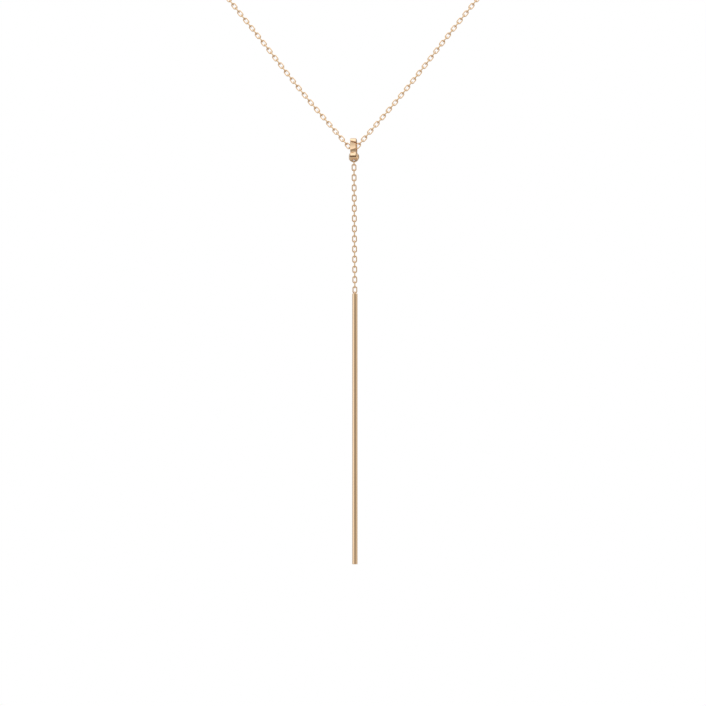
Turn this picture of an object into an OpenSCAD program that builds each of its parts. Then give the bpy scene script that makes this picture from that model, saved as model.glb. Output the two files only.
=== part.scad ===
// Y necklace: two strands of cable chain meet in a small lobster clasp, which carries a slim bar.
// Millimetres. +X is the wearer's left, which is the viewer's right. -Y faces the viewer, +Z is up.
// The origin is at the nape, in the middle of the back clasp.

/* [Chain] */
// Thickness of the wire that the links are bent from
wire_d = 0.3; // [0.26:0.01:0.32]
// Width of a link over its wire
link_w = 1.3; // [1.25:0.05:1.5]
// Length of the hole in a link
link_hole = 1.425; // [1.4:0.025:1.6]
// Clearance between two wires that hook together
hook_gap = 0.1; // [0.08:0.01:0.12]
// Links in each front strand
strand_links = 40; // [30:2:44]
// Length of the hole in the link at the point of the Y
centre_hole = 1.75; // [1.7:0.05:1.9]

/* [Lobster clasp] */
// Inside radius of the hook
eye_r = 1.3; // [1.28:0.02:1.36]
// Depth of the eye's straight sides below its middle
eye_depth = 1.1; // [1:0.05:1.15]
// Metal over the eye at the crown
crown_t = 1.1; // [1:0.01:1.4]
// Metal behind the eye
spine_t = 0.85; // [0.7:0.05:1]
// Thickness of the lever beside the eye
lever_t = 0.65; // [0.6:0.05:0.75]
// Thickness of the hook across the clasp
clasp_w = 1.6; // [1.54:0.02:1.68]
// Width of the lever, a little less than the hook's
lever_w = 1.48; // [1.3:0.02:1.5]
// Radius of the belly seen from the front
belly_r = 1.33; // [1.28:0.01:1.4]
// Height of the belly's middle below the eye's middle
belly_drop = 2.58; // [2.5:0.01:2.65]
// Depth of the belly from front to back, as a radius
belly_depth_r = 1.4; // [1.35:0.01:1.45]
// Height of the tail's hole below the eye's middle
tail_drop = 3.45; // [3.4:0.01:3.6]
// Radius of the tail's hole
tail_hole_r = 0.25; // [0.24:0.01:0.28]
// Metal round the tail's hole
tail_rim = 0.28; // [0.24:0.01:0.3]
// Thickness of the tail from front to back
tail_t = 0.28; // [0.24:0.01:0.3]
// Diameter of the lever's pin
pin_d = 0.4; // [0.3:0.02:0.44]
// How far the clasp leans, its tail to the viewer's right, in degrees
clasp_lean = 2; // [0:0.5:4]
// How far the clasp is turned, its right side to the viewer, in degrees
clasp_turn = 6; // [0:1:10]

/* [Drop] */
// Outer diameter of the round ring in the clasp's tail
ring_od = 1.6; // [1.56:0.02:1.7]
// Links in the drop, an odd number so that the last one faces forwards
drop_links = 25; // [15:2:31]
// How far the drop's chain leans to the viewer's right, in degrees
drop_lean = 0.4; // [0:0.05:0.5]

/* [Bar] */
// Diameter of the bar
bar_d = 1.4; // [1.3:0.05:2]
// Length of the bar
bar_len = 70.4; // [40:0.1:90]
// Radius of the bar's edges
bar_edge = 0.12; // [0.05:0.01:0.3]

/* [Back clasp] */
// Diameter of the barrel
barrel_d = 2.4; // [2:0.1:3]
// Length of the barrel
barrel_len = 7; // [6:0.5:9]
// Inside radius of the eye at each end of the barrel
end_eye_r = 0.4; // [0.35:0.01:0.5]
// Thickness of the eye's wire
end_eye_t = 0.4; // [0.35:0.01:0.5]

/* [Hidden] */
$fn = 48;
gold = [0.87, 0.72, 0.55];
dark_gold = [0.72, 0.57, 0.42];
pale_gold = [0.93, 0.82, 0.67];

// Middle line of the neck chain's right half, from the point of the Y to the nape, chosen by hand.
// The first and last points are the middles of the centre link and of the back clasp.
neck_route = [[0, -114, -84], [13.2, -107, -69.6], [25.2, -99.8, -54.2], [36, -92.6, -40.4],
    [45, -82, -27], [51.5, -66.5, -16], [54.5, -47.5, -8.5], [51, -28.5, -3.5], [40.5, -12.5, -1],
    [23.5, -3, 0], [0, 0, 0]];
route_steps = 20;
// Half the stretch over which the route's direction is taken
heading_step = 0.5;

// A link's middle line is two straight sides and two half circles
link_bend_r = (link_w - wire_d) / 2;
link_pitch = link_hole - hook_gap;
link_len = link_hole + 2 * wire_d;
// From a link's middle to the wire that it is hooked on, and to the middle of its own end wire
hook_reach = link_hole / 2 - hook_gap - wire_d / 2;
end_reach = link_hole / 2 + wire_d / 2;

// How far the clasp's eye hangs below the middle of the centre link, and slips to the viewer's right
eye_sag = 0.04;
eye_slip = 0.155;
y_point = neck_route[0];
eye_mid = y_point + [eye_slip, 0, -eye_sag];

// The strand starts on the centre link's end wire, and the back chain ends beside the barrel's eye
first_slope = 53;
first_rearward = 0.35;
strand_start = y_point + [(centre_hole + wire_d) / 2, 0, 0]
    + hook_reach * unit([cos(first_slope), first_rearward, sin(first_slope)]);
end_eye_reach = end_eye_r + end_eye_t / 2;
chain_end = [barrel_len / 2 + 2 * end_eye_reach + hook_gap, 0, 0];

last_point = len(neck_route) - 1;
chain_route = [strand_start, for (i = [1:last_point - 1]) neck_route[i], chain_end];
padded_route = concat([2 * chain_route[0] - chain_route[1]], chain_route,
    [2 * chain_route[last_point] - chain_route[last_point - 1]]);
route_points = [for (i = [0:last_point - 1]) for (j = [0:route_steps - 1])
    spline(i, j / route_steps), chain_end];
route_lengths = running_lengths(route_points);
route_end = route_lengths[len(route_lengths) - 1];
x_along = [for (i = [0:len(route_points) - 1]) [route_lengths[i], route_points[i].x]];
y_along = [for (i = [0:len(route_points) - 1]) [route_lengths[i], route_points[i].y]];
z_along = [for (i = [0:len(route_points) - 1]) [route_lengths[i], route_points[i].z]];

// The part of the route that the back chain's tube takes
tube_sides = 8;
tube_start = (strand_links - 1) * link_pitch + link_len / 2 + hook_gap;
tube_rings = ceil((route_end - tube_start) / (3 * link_w)) + 1;

// Clasp, seen from its side: y forwards is negative, z is up, from the middle of the eye
lever_gap = 0.04;
seam_gap = 0.38;
// Degrees that the seam over the lever and the waist under its lip run down and up to the viewer's right
seam_slant = 13;
waist_slant = 14;
crown_r = eye_r + (spine_t + lever_t) / 2;
crown_mid = [(spine_t - lever_t) / 2, eye_r + crown_t - crown_r];
belly_mid = [-0.4, -1.85];
boss_r = 0.42;
washer_r = 0.38;
boss_gap = 0.07;
bore_gap = 0.03;
rivet_gap = 0.01;
pivot = [-0.9, -2.35];
tip_r = 3.65;
gate_back = -0.2;
wall_top = -2.48;
slot_back = -0.3;
corner_r = 0.3;
// The cheeks bow inwards to the front: the bow's radius, and where the belly is widest
cheek_bow_r = 5;
widest_y = 0.5;
// The lever's front, from the top: a hollow face, its lip, the waist, the tab's face and the tab's lip
face_mid = [-9.099, 3.1];
face_r = 7.78;
face_slopes = [10, 28];
lip_r = 0.1;
waist = [-1.72, -1.02];
tab_root = [-1.74, -1.24];
tab_height = 0.78;
tab_slope = 36;
tab_r = 0.14;
lever_back = [[-1.15, 2], [-1.3, 0.4], [-1.3, 0.2]];
boss_sweep = [48, -204.6];
lever_foot = [-1.62, -2.22];

ring_r = (ring_od - wire_d) / 2;
ring_gap = 0.07;
ring_hang = tail_drop + tail_hole_r - ring_gap - wire_d / 2;
ring_mid = eye_mid + from_clasp([0, 0, -ring_hang]) - [0, 0, ring_r];
drop_top = ring_mid - [0, 0, ring_r];
drop_len = hook_reach + (drop_links - 1) * link_pitch + end_reach;
bar_pivot = drop_top + drop_len * [sin(drop_lean), 0, -cos(drop_lean)];
bar_eye_r = wire_d / 2 + hook_gap;
bar_shoulder = -0.1;

function unit(v) = v / norm(v);

// A smooth curve through the route's points, where t runs from 0 to 1 between point i and the next
function spline(i, t) =
    let (a = padded_route[i], b = padded_route[i + 1], c = padded_route[i + 2], d = padded_route[i + 3])
    (2 * b + (c - a) * t + (2 * a - 5 * b + 4 * c - d) * t * t + (3 * b - a - 3 * c + d) * t * t * t) / 2;

function running_lengths(points) =
    [for (i = 0, s = 0; i < len(points);
        i = i + 1, s = i < len(points) ? s + norm(points[i] - points[i - 1]) : s) s];

function route_at(s) = [lookup(s, x_along), lookup(s, y_along), lookup(s, z_along)];
function heading_at(s) = unit(route_at(s + heading_step) - route_at(s - heading_step));

// Faces the viewer along the front strand, then turns outwards round the neck to face backwards
function facing_at(s) =
    let (turn = 180 * max(0, s - tube_start) / (route_end - tube_start))
    [sin(turn), -cos(turn), 0];
function normal_at(s) =
    let (along = heading_at(s), out = facing_at(s)) unit(out - (out * along) * along);

// A point of the clasp's own frame, measured from the middle of its eye, leant and turned
function from_clasp(p) =
    let (x = p.x * cos(clasp_lean) - p.z * sin(clasp_lean), z = p.x * sin(clasp_lean) + p.z * cos(clasp_lean))
    [x * cos(clasp_turn) + p.y * sin(clasp_turn), p.y * cos(clasp_turn) - x * sin(clasp_turn), z];

// An oval link in the XY plane, its long axis along X
module link(hole = link_hole) {
    straight = hole + 2 * wire_d - link_w;
    for (side = [-1, 1]) {
        translate([side * straight / 2, 0, 0]) rotate(-90 * side)
            rotate_extrude(angle = 180) translate([link_bend_r, 0]) circle(d = wire_d);
        translate([-straight / 2, side * link_bend_r, 0]) rotate([0, 90, 0])
            cylinder(d = wire_d, h = straight);
    }
}

// Puts the X axis along a heading and the Z axis along a normal
module aim(place, along, out) {
    across = cross(out, along);
    multmatrix([[along.x, across.x, out.x, place.x],
        [along.y, across.y, out.y, place.y],
        [along.z, across.z, out.z, place.z]]) children();
}

module strand() {
    for (i = [0:strand_links - 1]) {
        s = i * link_pitch;
        aim(route_at(s), heading_at(s), normal_at(s)) rotate([90 * (i % 2), 0, 0]) link();
    }
}

// One closed tube along the hidden stretch, which the real links fill out
module back_chain() {
    step = (route_end - tube_start) / (tube_rings - 1);
    points = [for (i = [0:tube_rings - 1]) let (s = tube_start + i * step, mid = route_at(s),
        out = normal_at(s), across = cross(out, heading_at(s)))
        for (j = [0:tube_sides - 1]) let (a = 360 * j / tube_sides)
            mid + link_w / 2 * (cos(a) * out + sin(a) * across)];
    last = (tube_rings - 1) * tube_sides;
    faces = concat(
        [[for (j = [0:tube_sides - 1]) j]],
        [[for (j = [tube_sides - 1:-1:0]) last + j]],
        [for (i = [0:tube_rings - 2]) for (j = [0:tube_sides - 1])
            let (a = i * tube_sides + j, b = i * tube_sides + (j + 1) % tube_sides)
            [a, a + tube_sides, b + tube_sides, b]]);
    polyhedron(points = points, faces = faces);
}

module right_strand() { color(gold) strand(); }
module left_strand() { color(gold) mirror([1, 0, 0]) strand(); }
module right_back_chain() { color(gold) back_chain(); }
module left_back_chain() { color(gold) mirror([1, 0, 0]) back_chain(); }

module back_clasp() {
    round_end = barrel_d / 4;
    color(pale_gold) union() {
        rotate([0, 90, 0]) rotate_extrude() {
            translate([0, -barrel_len / 2]) square([barrel_d / 2 - round_end, barrel_len]);
            translate([0, round_end - barrel_len / 2]) square([barrel_d / 2, barrel_len - 2 * round_end]);
            for (end = [-1, 1])
                translate([barrel_d / 2 - round_end, end * (barrel_len / 2 - round_end)]) circle(round_end);
        }
        for (end = [-1, 1]) translate([end * (barrel_len / 2 + end_eye_r), 0, 0])
            rotate_extrude() translate([end_eye_reach, 0]) circle(d = end_eye_t);
    }
}

module centre_link() { color(gold) translate(y_point) link(centre_hole); }

// Extrude a side view, drawn as y and z, or a front view, drawn as x and z, about the middle
module side_view(w) { rotate([90, 0, 90]) linear_extrude(w, center = true) children(); }
module front_view(w) { rotate([90, 0, 0]) linear_extrude(w, center = true) children(); }
module in_clasp() { translate(eye_mid) rotate([0, -clasp_lean, -clasp_turn]) children(); }

function arc(mid, r, from, to, steps = 24) =
    [for (i = [0:steps]) let (a = from + (to - from) * i / steps) mid + r * [cos(a), sin(a)]];

// The claw's outer curve, from the crown's arc down straight sides to the belly's arc
module claw_outline() {
    gap = belly_mid - crown_mid;
    facing = atan2(gap.y, gap.x);
    spread = acos((crown_r - belly_depth_r) / norm(gap));
    polygon(concat(arc(crown_mid, crown_r, facing + spread, facing - spread + 360, 36),
        arc(belly_mid, belly_depth_r, facing - spread + 360, facing + spread + 360)));
}

module eye_outline() {
    foot_r = 0.5;
    foot_z = foot_r - eye_depth;
    polygon(concat(arc([0, 0], eye_r, 0, 180, 36), arc([foot_r - eye_r, foot_z], foot_r, 180, 270, 8),
        arc([eye_r - foot_r, foot_z], foot_r, 270, 360, 8)));
}

// A round solid about the pivot's axis, wider to the viewer's left, which sets the slanted seam
module seam_cone(r) {
    rise = clasp_w * tan(seam_slant);
    translate([0, pivot.x, pivot.y]) rotate([0, 90, 0])
        cylinder(r1 = r + rise, r2 = r - rise, h = 2 * clasp_w, center = true);
}

// What the lever sweeps: the gate under the nose, the slot in the belly and the room for its boss
module lever_room(w) {
    reach = 2 * crown_r;
    side_view(w) {
        translate([slot_back - reach, wall_top]) square([reach, -wall_top]);
        translate(pivot) circle(boss_r + boss_gap);
    }
    intersection() {
        side_view(w) translate([gate_back - reach, 0]) square([reach, reach]);
        seam_cone(tip_r + seam_gap);
    }
}

module clasp_front() {
    crown_top = eye_r + crown_t;
    translate([-clasp_w / 2, -belly_drop]) square([clasp_w, belly_drop + crown_top - corner_r]);
    translate([corner_r - clasp_w / 2, 0]) square([clasp_w - 2 * corner_r, crown_top]);
    for (side = [-1, 1]) translate([side * (clasp_w / 2 - corner_r), crown_top - corner_r]) circle(corner_r);
    translate([0, -tail_drop]) circle(tail_hole_r + tail_rim);
}

// The belly, round from the front, with a cheek that bows inwards on each side
module belly() {
    intersection() {
        front_view(4 * crown_r) translate([0, -belly_drop]) circle(belly_r);
        cheek_bow(1);
        cheek_bow(-1);
    }
}

module cheek_bow(side) {
    translate([side * (belly_r - cheek_bow_r), widest_y, -belly_drop])
        cylinder(r = cheek_bow_r, h = 3 * belly_r, center = true);
}

// Half the belly's width at a depth y
function cheek_at(y) = belly_r - cheek_bow_r + sqrt(pow(cheek_bow_r, 2) - pow(y - widest_y, 2));

module clasp_body() {
    tail_bottom = tail_drop + tail_hole_r + tail_rim;
    color(gold) in_clasp() difference() {
        intersection() {
            side_view(2 * belly_r + 1) difference() {
                union() {
                    claw_outline();
                    translate([-tail_t / 2, -tail_bottom]) square([tail_t, tail_bottom + belly_mid.y]);
                }
                eye_outline();
            }
            union() {
                front_view(4 * crown_r) clasp_front();
                belly();
            }
        }
        lever_room(clasp_w + 2 * lever_gap);
        translate([0, 0, -tail_drop]) rotate([90, 0, 0])
            cylinder(r = tail_hole_r, h = 2 * belly_depth_r, center = true);
        pin_hole(rivet_gap);
    }
}

// A hole for the lever's pin, right through the clasp
module pin_hole(gap) {
    translate([0, pivot.x, pivot.y]) rotate([0, 90, 0])
        cylinder(d = pin_d + 2 * gap, h = 4 * belly_r, center = true);
}

module lever_outline() {
    lip_mid = face_mid + (face_r + lip_r) * [cos(face_slopes[1]), -sin(face_slopes[1])];
    face = arc(face_mid, face_r, -face_slopes[1], -face_slopes[0], 12);
    tab_end = tab_root - tab_height * [tan(tab_slope), 1];
    tab_mid = tab_end + tab_r * [cos(tab_slope), -sin(tab_slope)];
    polygon(concat(lever_back, arc(pivot, boss_r, boss_sweep[0], boss_sweep[1]), [lever_foot],
        arc(tab_mid, tab_r, 270, 180 - tab_slope, 8), [tab_root, waist],
        arc(lip_mid, lip_r, 290, 180 - face_slopes[1], 8), face,
        [[face[len(face) - 1].x, lever_back[0].y]]));
}

// The waist's upper edge runs up to the viewer's right
module waist_cut() {
    lip_z = face_mid.y - face_r * sin(face_slopes[1]) - lip_r;
    half = clasp_w / 2 + lever_gap;
    rise = 2 * half * tan(waist_slant);
    translate([0, waist.x - clasp_w, 0]) front_view(2 * clasp_w)
        polygon([[-half, waist.y], [half, waist.y], [half, lip_z + rise], [-half, lip_z]]);
}

module clasp_lever() {
    color(pale_gold) in_clasp() difference() {
        intersection() {
            union() {
                side_view(lever_w) lever_outline();
                side_view(clasp_w) translate(pivot) circle(washer_r);
            }
            seam_cone(tip_r);
        }
        waist_cut();
        pin_hole(bore_gap);
    }
}

module clasp_pin() {
    inset = 0.03;
    color(dark_gold) in_clasp() translate([0, pivot.x, pivot.y]) rotate([0, 90, 0])
        cylinder(d = pin_d, h = 2 * (cheek_at(pivot.x - pin_d / 2) - inset), center = true);
}

module drop_ring() {
    color(gold) translate(ring_mid) rotate([0, 90, 0])
        rotate_extrude() translate([ring_r, 0]) circle(d = wire_d);
}

module drop_chain() {
    color(gold) translate(drop_top) rotate([0, 90 - drop_lean, 0]) for (i = [0:drop_links - 1])
        translate([hook_reach + i * link_pitch, 0, 0]) rotate([90 * ((i + 1) % 2), 0, 0]) link();
}

module bar() {
    color(gold) translate(bar_pivot) difference() {
        union() {
            translate([0, 0, bar_shoulder - bar_len]) rotate_extrude() {
                square([bar_d / 2 - bar_edge, bar_len]);
                translate([0, bar_edge]) square([bar_d / 2, bar_len - 2 * bar_edge]);
                for (z = [bar_edge, bar_len - bar_edge])
                    translate([bar_d / 2 - bar_edge, z]) circle(bar_edge);
            }
            rotate([0, 90, 0]) rotate_extrude() translate([bar_eye_r + wire_d / 2, 0]) circle(d = wire_d);
        }
        rotate([0, 90, 0]) cylinder(r = bar_eye_r, h = 2 * bar_d, center = true);
    }
}

right_strand();
left_strand();
right_back_chain();
left_back_chain();
back_clasp();
centre_link();
clasp_body();
clasp_lever();
clasp_pin();
drop_ring();
drop_chain();
bar();
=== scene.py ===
"""Y necklace in polished rose gold: cable chain, a small lobster clasp and a slim bar."""
import math
import bmesh
import bpy
from mathutils import Matrix, Vector


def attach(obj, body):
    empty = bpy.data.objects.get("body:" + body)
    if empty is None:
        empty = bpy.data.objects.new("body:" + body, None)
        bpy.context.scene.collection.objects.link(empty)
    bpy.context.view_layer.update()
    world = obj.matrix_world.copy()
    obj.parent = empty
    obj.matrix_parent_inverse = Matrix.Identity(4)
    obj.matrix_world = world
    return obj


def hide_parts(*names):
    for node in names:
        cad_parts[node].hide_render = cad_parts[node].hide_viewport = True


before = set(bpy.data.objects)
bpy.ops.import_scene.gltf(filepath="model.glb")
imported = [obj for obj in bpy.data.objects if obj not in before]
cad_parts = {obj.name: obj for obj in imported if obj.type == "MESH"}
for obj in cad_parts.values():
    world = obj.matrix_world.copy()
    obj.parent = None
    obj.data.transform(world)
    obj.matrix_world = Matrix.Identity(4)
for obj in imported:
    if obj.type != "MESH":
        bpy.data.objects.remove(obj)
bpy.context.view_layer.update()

# Sizes, in millimetres as in the part's source
WIRE = 0.3
LINK_W = 1.3
LINK_HOLE = 1.425
HOOK_GAP = 0.1
LINK_PITCH = LINK_HOLE - HOOK_GAP
STRAND_LINKS = 40
DROP_LINKS = 25
CENTRE_HOLE = 1.75
CLASP_LEAN = math.radians(2)
CLASP_TURN = math.radians(6)
DROP_LEAN = math.radians(0.4)
RING_OD = 1.6
BAR_D = 1.4
BAR_LEN = 70.4
BAR_EDGE = 0.12
BAR_SHOULDER = -0.1
BARREL_D = 2.4
BARREL_LEN = 7.0
END_EYE_R = 0.4
END_EYE_T = 0.4
PIN_D = 0.4
BELLY_R = 1.33
CHEEK_BOW_R = 5.0
WIDEST_Y = 0.5
PIVOT = (-0.9, -2.35)
PIN_INSET = 0.03
PIN_DOME = 0.05
RING_HANG = 3.48
EYE_SLIP = 0.155
EYE_SAG = 0.04

# Middle line of the neck chain's right half, as in the part's source
NECK_ROUTE = [(0, -114, -84), (13.2, -107, -69.6), (25.2, -99.8, -54.2), (36, -92.6, -40.4),
              (45, -82, -27), (51.5, -66.5, -16), (54.5, -47.5, -8.5), (51, -28.5, -3.5),
              (40.5, -12.5, -1), (23.5, -3, 0), (0, 0, 0)]
ROUTE_STEPS = 20
FIRST_SLOPE = math.radians(53)
FIRST_DEPTH = 0.35
# How far to each side of a place the route's direction there is measured
ALONG_STEP = 0.5
# How far the last hidden link stays short of the barrel's ring, beyond the usual gap
END_SLACK = 0.1

MM = 0.001
HOOK_REACH = LINK_HOLE / 2 - HOOK_GAP - WIRE / 2
END_REACH = LINK_HOLE / 2 + WIRE / 2
Y_POINT = Vector(NECK_ROUTE[0])
EYE_MID = Y_POINT + Vector((EYE_SLIP, 0, -EYE_SAG))
CLASP_PLACE = (Matrix.Translation(EYE_MID) @ Matrix.Rotation(-CLASP_TURN, 4, "Z")
               @ Matrix.Rotation(-CLASP_LEAN, 4, "Y"))
RING_R = (RING_OD - WIRE) / 2
RING_MID = CLASP_PLACE @ Vector((0, 0, -RING_HANG)) - Vector((0, 0, RING_R))
DROP_TOP = RING_MID - Vector((0, 0, RING_R))
DROP_LEN = HOOK_REACH + (DROP_LINKS - 1) * LINK_PITCH + END_REACH
BAR_PIVOT = DROP_TOP + DROP_LEN * Vector((math.sin(DROP_LEAN), 0, -math.cos(DROP_LEAN)))

# Points closer than this are one: in millimetres on a turned piece, in metres on a solid
TURNED_MERGE = 0.0005
SOLID_MERGE = 1e-7
# Voxel that the clasp's solids are softened with, and how much each smoothing pass moves
SOFT_VOXEL = 0.028
SOFT_FACTOR = 0.5
# Edges steeper than this stay hard on the bar
SHARP_EDGE = math.radians(38)


# Camera and light

PHOTO = 706
MM_PER_PIXEL = 0.26
POINT_PIXEL = (352.92, 147.2)
SENSOR_WIDTH = 36
# In metres
CAMERA_AWAY = 4.0
FAR_CLIP = 50
FLOOR_HEIGHT = -0.34
FLOOR_REACH = 4


def add_camera():
    """Looks straight along +Y, with the point of the Y where the photograph has it."""
    middle = PHOTO / 2
    x = Y_POINT.x + (middle - POINT_PIXEL[0]) * MM_PER_PIXEL
    z = Y_POINT.z - (middle - POINT_PIXEL[1]) * MM_PER_PIXEL
    data = bpy.data.cameras.new("camera")
    data.sensor_width = SENSOR_WIDTH
    data.lens = SENSOR_WIDTH * CAMERA_AWAY / (PHOTO * MM_PER_PIXEL * MM)
    data.clip_end = FAR_CLIP
    camera = bpy.data.objects.new("camera", data)
    camera.location = (x * MM, Y_POINT.y * MM - CAMERA_AWAY, z * MM)
    camera.rotation_euler = (math.radians(90), 0, 0)
    bpy.context.scene.collection.objects.link(camera)
    bpy.context.scene.camera = camera


# Shader nodes

class Socket:
    """A node's output that Python's operators turn into Math nodes."""

    def __init__(self, nodes, link):
        self.nodes = nodes
        self.link = link

    def maths(self, operation, *values):
        return self.nodes.node("ShaderNodeMath", {"operation": operation}, dict(enumerate(values)))

    def __add__(self, other):
        return self.maths("ADD", self, other)

    def __mul__(self, other):
        return self.maths("MULTIPLY", self, other)

    def __truediv__(self, other):
        return self.maths("DIVIDE", self, other)

    def __rtruediv__(self, other):
        return self.maths("DIVIDE", other, self)

    __radd__ = __add__
    __rmul__ = __mul__


class Nodes:
    """The nodes of one material or of the world."""

    def __init__(self, owner):
        owner.use_nodes = True
        self.tree = owner.node_tree

    def node(self, kind, settings=None, values=None, output=0):
        node = self.tree.nodes.new(kind)
        for name, value in (settings or {}).items():
            if name == "stops":
                set_stops(node.color_ramp, value)
            else:
                setattr(node, name, value)
        for name, value in (values or {}).items():
            self.give(node.inputs[name], value)
        return Socket(self, node.outputs[output])

    def give(self, target, value):
        if isinstance(value, Socket):
            self.tree.links.new(value.link, target)
        else:
            target.default_value = value

    def ramp(self, factor, stops):
        return self.node("ShaderNodeValToRGB", {"stops": stops}, {"Fac": factor})

    def mix(self, factor, colour_a, colour_b):
        return self.node("ShaderNodeMix", {"data_type": "RGBA"},
                         {"Factor": factor, 6: colour_a, 7: colour_b}, output=2)

    def map_range(self, value, start, end):
        """From 0 to 1, softly, while the value goes from its start to its end."""
        return self.node("ShaderNodeMapRange", {"interpolation_type": "SMOOTHSTEP"},
                         {"Value": value, "From Min": start, "From Max": end})

    def noise(self, scale, detail, stretch=(1, 1, 1)):
        where = self.node("ShaderNodeTexCoord", output="Object")
        where = self.node("ShaderNodeMapping", {}, {"Vector": where, "Scale": stretch})
        return self.node("ShaderNodeTexNoise", {},
                         {"Vector": where, "Scale": scale, "Detail": detail})


def set_stops(ramp, stops):
    """Gives a colour ramp its stops, each a place and a grey or a colour, straight between them."""
    ramp.interpolation = "LINEAR"
    while len(ramp.elements) < len(stops):
        ramp.elements.new(0.5)
    for element, (where, value) in zip(ramp.elements, stops):
        element.position = where
        element.color = (*value, 1) if isinstance(value, tuple) else (value, value, value, 1)


# Light of the studio round the necklace: degrees to the right of the camera, and its colour
DIM = (0.345, 0.31, 0.275)
SIDE = (0.64, 0.62, 0.58)
EDGE = (1.0, 0.88, 0.74)
STUDIO = [(-180, 0.45), (-150, 0.62), (-88, 0.62), (-80, 1.05), (-36, 1.05), (-29, DIM), (48, DIM),
          (60, SIDE), (108, SIDE), (116, EDGE), (132, EDGE), (142, (0.34, 0.28, 0.22)), (180, 0.35)]
# Light above and below that band, and how high or low it takes over
LEVELS = [((0.6, 0.55, 0.5), (-0.08, -0.25)),
          ((0.68, 0.66, 0.63), (0.1, 0.25)),
          ((1.26, 1.26, 1.26), (0.53, 0.87))]


def add_studio():
    """Soft light all round that the metal mirrors, and a plain white background."""
    scene = bpy.context.scene
    scene.view_settings.view_transform = "Standard"
    world = bpy.data.worlds.new("studio")
    scene.world = world
    room = Nodes(world)
    towards = room.node("ShaderNodeTexCoord", output="Generated")
    x, y, z = (room.node("ShaderNodeSeparateXYZ", {}, {0: towards}, output=axis) for axis in "XYZ")
    round_about = x.maths("ARCTAN2", x, y * -1.0) / (2 * math.pi) + 0.5
    light = room.ramp(round_about, [(0.5 + degrees / 360, colour) for degrees, colour in STUDIO])
    for level, (start, end) in LEVELS:
        light = room.mix(room.map_range(z, start, end), light, (*level, 1))
    seen = room.node("ShaderNodeLightPath", output="Is Camera Ray")
    background = room.tree.nodes["Background"]
    room.give(background.inputs["Color"], room.mix(seen, light, (1, 1, 1, 1)))


def add_floor():
    """A pale floor well below the necklace, which the metal doesn't mirror."""
    bm = bmesh.new()
    bmesh.ops.create_grid(bm, x_segments=1, y_segments=1, size=FLOOR_REACH)
    bmesh.ops.translate(bm, vec=(0, 0, FLOOR_HEIGHT), verts=bm.verts)
    mesh = bpy.data.meshes.new("floor")
    bm.to_mesh(mesh)
    bm.free()
    floor = bpy.data.objects.new("floor", mesh)
    bpy.context.scene.collection.objects.link(floor)
    pale = bpy.data.materials.new("pale_floor")
    shader = Nodes(pale).tree.nodes["Principled BSDF"]
    shader.inputs["Base Color"].default_value = (0.9, 0.9, 0.9, 1)
    shader.inputs["Roughness"].default_value = 0.8
    mesh.materials.append(pale)
    floor.visible_glossy = False


# The gold: a faint cloud of colour and fine polishing lines, with their scales and depths, and
# how far from a surface another one brings painted shade into its colour in recesses, in metres
CLOUD_SCALE = 900
CLOUD_SHADE = 0.96
LINE_SCALE = 9000
LINE_DEPTH = 0.00001
ROUGHNESS_SPREAD = 0.2
PAINTED_SHADE_REACH = 0.0007
# Openness at and below which the painted shade in recesses is full
FULL_SHADE_AIR = 0.2


def gold(name, colour, shade_colour, shade_ends_at, roughness, scratch, stretch=(1, 1, 1)):
    """Polished gold with painted shade: its colour darkens to a shade colour in recesses where less
    air reaches it than the given openness.
    """
    material = bpy.data.materials.new(name)
    nodes = Nodes(material)
    shader = nodes.tree.nodes["Principled BSDF"]
    nodes.give(shader.inputs["Metallic"], 1.0)
    cloud = nodes.noise(CLOUD_SCALE, 2.0)
    open_metal = nodes.mix(cloud, (*colour, 1), (*(CLOUD_SHADE * part for part in colour), 1))
    # Painted shade: ambient occlusion darkens the base colour in recesses, gaps and between parts
    painted_shade_mask = nodes.node("ShaderNodeAmbientOcclusion", {"samples": 8}, {"Distance": PAINTED_SHADE_REACH}, output="AO")
    painted_shade_mask = nodes.map_range(painted_shade_mask, FULL_SHADE_AIR, shade_ends_at)
    nodes.give(shader.inputs["Base Color"], nodes.mix(painted_shade_mask, (*shade_colour, 1), open_metal))
    lines = nodes.noise(LINE_SCALE, 4.0, stretch)
    smoothest = roughness * (1 - ROUGHNESS_SPREAD)
    nodes.give(shader.inputs["Roughness"], smoothest + lines * (2 * ROUGHNESS_SPREAD * roughness))
    bump = nodes.node("ShaderNodeBump", {},
                      {"Height": lines, "Strength": scratch, "Distance": LINE_DEPTH})
    nodes.give(shader.inputs["Normal"], bump)
    return material


# Metal pieces

def finish(name, bm, material, body, replaced):
    """Turns a bmesh in millimetres into a finished piece in metres, with its place in its mesh."""
    bmesh.ops.recalc_face_normals(bm, faces=bm.faces)
    bmesh.ops.scale(bm, vec=(MM, MM, MM), verts=bm.verts)
    for face in bm.faces:
        face.smooth = True
    mesh = bpy.data.meshes.new(name)
    bm.to_mesh(mesh)
    bm.free()
    mesh.materials.append(material)
    piece = bpy.data.objects.new(name, mesh)
    bpy.context.scene.collection.objects.link(piece)
    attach(piece, body)
    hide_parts(*replaced)
    return piece


def add_ring(bm, middle_r, wire_r, around, sides):
    """A round ring of wire in the XY plane, added to a bmesh, and its new vertices."""
    half_step = math.pi / around
    turn = Matrix.Rotation(half_step, 4, "Z")
    place = turn @ Matrix.Translation((middle_r, 0, 0)) @ Matrix.Rotation(math.pi / 2, 4, "X")
    section = bmesh.ops.create_circle(bm, segments=sides, radius=wire_r, matrix=place)["verts"]
    edges = list({edge for vertex in section for edge in vertex.link_edges})
    before = set(bm.verts) - set(section)
    bmesh.ops.spin(bm, geom=section + edges, cent=(0, 0, 0), axis=(0, 0, 1), angle=2 * math.pi,
                   steps=around, use_merge=True)
    return [vertex for vertex in bm.verts if vertex not in before]


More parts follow.
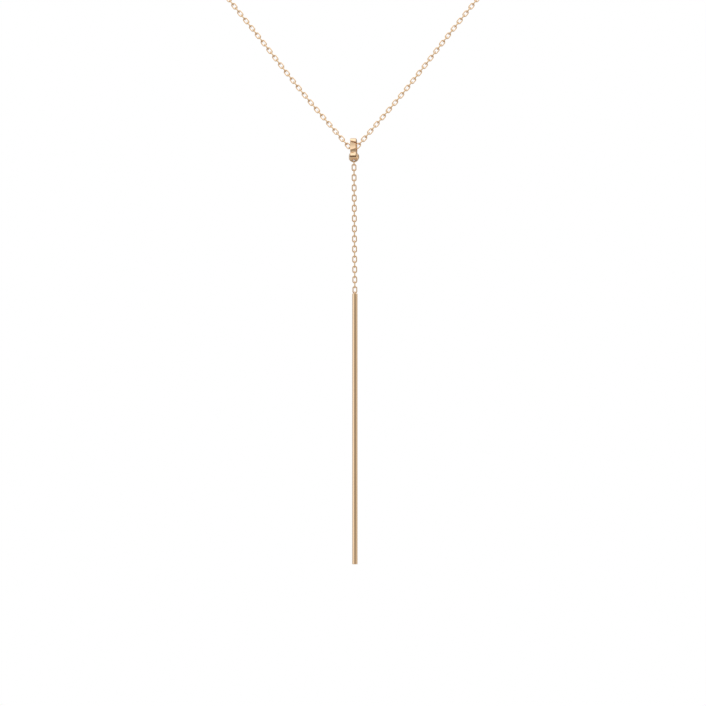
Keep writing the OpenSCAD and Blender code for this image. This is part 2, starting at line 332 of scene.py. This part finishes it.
def add_link(bm, hole, around, sides):
    """An oval link in the XY plane, its long axis along X: a ring drawn apart at its middle."""
    half_side = math.pi / sides
    girth_r = WIRE / 2 * half_side / math.sin(half_side)
    ring = add_ring(bm, (LINK_W - WIRE) / 2, girth_r, around, sides)
    straight = hole + 2 * WIRE - LINK_W
    for vertex in ring:
        vertex.co.x += math.copysign(straight / 2, vertex.co.x)


def link_mesh(hole=LINK_HOLE, around=12, sides=6):
    """One link. The neck's many links have few faces, the larger ones in sight have more."""
    bm = bmesh.new()
    add_link(bm, hole, around, sides)
    mesh = bpy.data.meshes.new("link")
    bm.to_mesh(mesh)
    bm.free()
    return mesh


def add_copy(bm, mesh, place):
    """Adds a mesh to a bmesh, moved to its place."""
    before = len(bm.verts)
    bm.from_mesh(mesh)
    bm.verts.ensure_lookup_table()
    bmesh.ops.transform(bm, matrix=place, verts=bm.verts[before:])


def chain(places, mesh):
    """A bmesh of one link's mesh at each of the places."""
    bm = bmesh.new()
    for place in places:
        add_copy(bm, mesh, place)
    return bm


def spline(points, i, t):
    a, b, c, d = points[i:i + 4]
    return (2 * b + (c - a) * t + (2 * a - 5 * b + 4 * c - d) * t * t
            + (3 * b - a - 3 * c + d) * t * t * t) / 2


class Route:
    """The middle line of the neck chain's right half, measured along its length."""

    def __init__(self):
        slope = Vector((math.cos(FIRST_SLOPE), FIRST_DEPTH, math.sin(FIRST_SLOPE))).normalized()
        start = Y_POINT + Vector(((CENTRE_HOLE + WIRE) / 2, 0, 0)) + HOOK_REACH * slope
        end_eye_reach = END_EYE_R + END_EYE_T / 2
        end = Vector((BARREL_LEN / 2 + 2 * end_eye_reach + HOOK_GAP, 0, 0))
        chosen = [start] + [Vector(p) for p in NECK_ROUTE[1:-1]] + [end]
        padded = [2 * chosen[0] - chosen[1]] + chosen + [2 * chosen[-1] - chosen[-2]]
        self.points = [spline(padded, i, j / ROUTE_STEPS)
                       for i in range(len(chosen) - 1) for j in range(ROUTE_STEPS)] + [end]
        self.lengths = [0.0]
        for a, b in zip(self.points, self.points[1:]):
            self.lengths.append(self.lengths[-1] + (b - a).length)
        self.total = self.lengths[-1]
        self.tube_start = (STRAND_LINKS - 1) * LINK_PITCH + LINK_HOLE / 2 + WIRE + HOOK_GAP

    def at(self, s):
        s = min(max(s, 0), self.total)
        i = next(k for k in range(1, len(self.lengths)) if self.lengths[k] >= s)
        share = (s - self.lengths[i - 1]) / (self.lengths[i] - self.lengths[i - 1])
        return self.points[i - 1].lerp(self.points[i], share)

    def link_place(self, s, edge_on):
        """Where a link lies: its long axis along the route, its face turned outwards."""
        along = (self.at(s + ALONG_STEP) - self.at(s - ALONG_STEP)).normalized()
        turn = math.pi * max(0, s - self.tube_start) / (self.total - self.tube_start)
        out = Vector((math.sin(turn), -math.cos(turn), 0))
        out = (out - out.dot(along) * along).normalized()
        across = out.cross(along)
        place = Matrix((along, across, out)).transposed().to_4x4()
        place.translation = self.at(s)
        return place @ Matrix.Rotation(math.pi / 2 * edge_on, 4, "X")


def neck_chain(materials):
    """Both strands and the hidden stretch behind them, all of real interlocked links."""
    route = Route()
    mesh = link_mesh()
    last_front = (STRAND_LINKS - 1) * LINK_PITCH
    last_back = route.total + HOOK_GAP + END_EYE_T - (END_REACH - HOOK_GAP) - END_SLACK
    back_links = round((last_back - last_front) / LINK_PITCH)
    back_pitch = (last_back - last_front) / back_links
    front = [route.link_place(i * LINK_PITCH, i % 2) for i in range(STRAND_LINKS)]
    back = [route.link_place(last_front + (i + 1) * back_pitch, (STRAND_LINKS + i) % 2)
            for i in range(back_links)]
    mirror = Matrix.Scale(-1, 4, (1, 0, 0))
    for side, flip in (("right", Matrix.Identity(4)), ("left", mirror)):
        finish(f"{side}_strand_links", chain([flip @ p for p in front], mesh), materials["chain"],
               "neck_chain", [f"{side}_strand"])
        finish(f"{side}_back_links", chain([flip @ p for p in back], mesh), materials["chain"],
               "neck_chain", [f"{side}_back_chain"])


def centre_link(materials):
    bm = chain([Matrix.Translation(Y_POINT)], link_mesh(CENTRE_HOLE, around=32, sides=12))
    finish("centre_oval_link", bm, materials["chain"], "neck_chain", ["centre_link"])


def drop_chain(materials):
    """The drop's links, hanging in line below the ring in the clasp's tail."""
    hang = Matrix.Translation(DROP_TOP) @ Matrix.Rotation(math.pi / 2 - DROP_LEAN, 4, "Y")
    places = [hang @ Matrix.Translation((HOOK_REACH + i * LINK_PITCH, 0, 0))
              @ Matrix.Rotation(math.pi / 2 * ((i + 1) % 2), 4, "X") for i in range(DROP_LINKS)]
    finish("drop_links", chain(places, link_mesh(around=16, sides=8)), materials["chain"],
           "drop", ["drop_chain"])
    bm = bmesh.new()
    add_ring(bm, RING_R, WIRE / 2, around=40, sides=12)
    place = Matrix.Translation(RING_MID) @ Matrix.Rotation(math.pi / 2, 4, "Y")
    bmesh.ops.transform(bm, matrix=place, verts=bm.verts)
    finish("tail_ring", bm, materials["chain"], "drop", ["drop_ring"])


def add_turned(bm, outline, place, around):
    """A solid turned about Z from an outline of (radius, height) points with both ends on Z."""
    before = set(bm.verts)
    line = [bm.verts.new((r, 0, z)) for r, z in outline]
    edges = [bm.edges.new(pair) for pair in zip(line, line[1:])]
    bmesh.ops.spin(bm, geom=line + edges, cent=(0, 0, 0), axis=(0, 0, 1), angle=2 * math.pi,
                   steps=around, use_merge=True)
    fresh = [vertex for vertex in bm.verts if vertex not in before]
    bmesh.ops.remove_doubles(bm, verts=fresh, dist=TURNED_MERGE)
    fresh = [vertex for vertex in bm.verts if vertex not in before]
    bmesh.ops.transform(bm, matrix=place, verts=fresh)


def round_corner(r, z, radius, start, end, steps=6):
    """Points of a rounded corner about (r, z), from one angle to another in degrees."""
    return [(r + radius * math.cos(a), z + radius * math.sin(a))
            for a in (math.radians(start + (end - start) * k / steps) for k in range(steps + 1))]


def solid_from(name, bm):
    mesh = bpy.data.meshes.new(name)
    bmesh.ops.recalc_face_normals(bm, faces=bm.faces)
    bm.to_mesh(mesh)
    bm.free()
    piece = bpy.data.objects.new(name, mesh)
    bpy.context.scene.collection.objects.link(piece)
    return piece


def apply_modifiers(piece):
    """The piece's finished mesh as a bmesh; the piece itself is deleted."""
    graph = bpy.context.evaluated_depsgraph_get()
    mesh = bpy.data.meshes.new_from_object(piece.evaluated_get(graph))
    bm = bmesh.new()
    bm.from_mesh(mesh)
    bpy.data.objects.remove(piece)
    bpy.data.meshes.remove(mesh)
    return bm


def cut_bar():
    """The bar with its soldered eye, and the hole through which its last link passes."""
    bm = bmesh.new()
    r = BAR_D / 2
    bottom = BAR_SHOULDER - BAR_LEN
    outline = ([(0, bottom)]
               + round_corner(r - BAR_EDGE, bottom + BAR_EDGE, BAR_EDGE, -90, 0)
               + round_corner(r - BAR_EDGE, BAR_SHOULDER - BAR_EDGE, BAR_EDGE, 0, 90)
               + [(0, BAR_SHOULDER)])
    add_turned(bm, outline, Matrix.Identity(4), around=64)
    shaft = solid_from("shaft", bm)
    bm = bmesh.new()
    sideways = Matrix.Rotation(math.pi / 2, 4, "Y")
    add_ring(bm, WIRE + HOOK_GAP, WIRE / 2, around=40, sides=14)
    bmesh.ops.transform(bm, matrix=sideways, verts=bm.verts)
    eye = solid_from("eye", bm)
    bm = bmesh.new()
    hole_r = WIRE / 2 + HOOK_GAP
    bmesh.ops.create_cone(bm, cap_ends=True, segments=32, radius1=hole_r, radius2=hole_r,
                          depth=2 * BAR_D, matrix=sideways)
    drill = solid_from("drill", bm)
    for tool, operation in ((eye, "UNION"), (drill, "DIFFERENCE")):
        step = shaft.modifiers.new(operation, "BOOLEAN")
        step.operation = operation
        step.solver = "EXACT"
        step.object = tool
    bm = apply_modifiers(shaft)
    bpy.data.objects.remove(eye)
    bpy.data.objects.remove(drill)
    return bm


def bar(materials):
    bm = cut_bar()
    bmesh.ops.translate(bm, vec=BAR_PIVOT, verts=bm.verts)
    piece = finish("round_bar", bm, materials["bar"], "bar", ["bar"])
    piece.data.set_sharp_from_angle(angle=SHARP_EDGE)


def softened_node(node, passes):
    """A copy of a solid, in millimetres, with its edges worn round as cast gold's are."""
    source = bpy.data.objects[node]
    bm = bmesh.new()
    bm.from_mesh(source.data)
    bmesh.ops.remove_doubles(bm, verts=bm.verts, dist=SOLID_MERGE)
    bmesh.ops.scale(bm, vec=(1 / MM, 1 / MM, 1 / MM), verts=bm.verts)
    piece = solid_from(node + "_soft", bm)
    remesh = piece.modifiers.new("remesh", "REMESH")
    remesh.mode = "VOXEL"
    remesh.voxel_size = SOFT_VOXEL
    smooth = piece.modifiers.new("smooth", "SMOOTH")
    smooth.factor = SOFT_FACTOR
    smooth.iterations = passes
    return apply_modifiers(piece)


def clasp(materials):
    """Hook, lever and pin of the lobster clasp, cast and polished."""
    finish("hook_and_belly", softened_node("clasp_body", passes=17), materials["clasp"],
           "drop", ["clasp_body"])
    finish("sprung_lever", softened_node("clasp_lever", passes=14), materials["clasp"],
           "lever", ["clasp_lever"])
    bm = bmesh.new()
    pin_front_y = PIVOT[0] - PIN_D / 2
    cheek_x = BELLY_R - CHEEK_BOW_R + math.sqrt(CHEEK_BOW_R ** 2 - (pin_front_y - WIDEST_Y) ** 2)
    half = cheek_x - PIN_INSET
    corner_r = PIN_D / 2 - PIN_DOME
    outline = ([(0, -half)] + round_corner(corner_r, PIN_DOME - half, PIN_DOME, -90, 0, steps=4)
               + round_corner(corner_r, half - PIN_DOME, PIN_DOME, 0, 90, steps=4) + [(0, half)])
    place = CLASP_PLACE @ Matrix.Translation((0, *PIVOT)) @ Matrix.Rotation(math.pi / 2, 4, "Y")
    add_turned(bm, outline, place, around=24)
    finish("lever_pin", bm, materials["clasp"], "drop", ["clasp_pin"])


def back_clasp(materials):
    """The plain barrel at the nape, with a ring soldered to each end."""
    bm = bmesh.new()
    half = BARREL_LEN / 2
    r = BARREL_D / 2
    soft = BARREL_D / 4
    outline = ([(0, -half)] + round_corner(r - soft, soft - half, soft, -90, 0, steps=8)
               + round_corner(r - soft, half - soft, soft, 0, 90, steps=8) + [(0, half)])
    add_turned(bm, outline, Matrix.Rotation(math.pi / 2, 4, "Y"), around=48)
    for side in (-1, 1):
        ring = add_ring(bm, END_EYE_R + END_EYE_T / 2, END_EYE_T / 2, around=32, sides=12)
        bmesh.ops.translate(bm, vec=(side * (half + END_EYE_R), 0, 0), verts=ring)
    finish("nape_barrel", bm, materials["clasp"], "neck_chain", ["back_clasp"])


def main():
    add_camera()
    add_studio()
    add_floor()
    # Each gold's second colour is painted shade for its recesses, and the number after it is the
    # openness where that shade ends
    materials = {
        "chain": gold("chain_gold", (0.96, 0.68, 0.40), (0.40, 0.22, 0.10), 0.75, 0.16, 0.25),
        "clasp": gold("clasp_gold", (0.96, 0.71, 0.47), (0.30, 0.21, 0.14), 0.85, 0.26, 0.3),
        "bar": gold("bar_gold", (0.96, 0.71, 0.47), (0.45, 0.28, 0.15), 0.6, 0.12, 0.2, (1, 1, 0.02)),
    }
    neck_chain(materials)
    centre_link(materials)
    drop_chain(materials)
    bar(materials)
    clasp(materials)
    back_clasp(materials)


main()
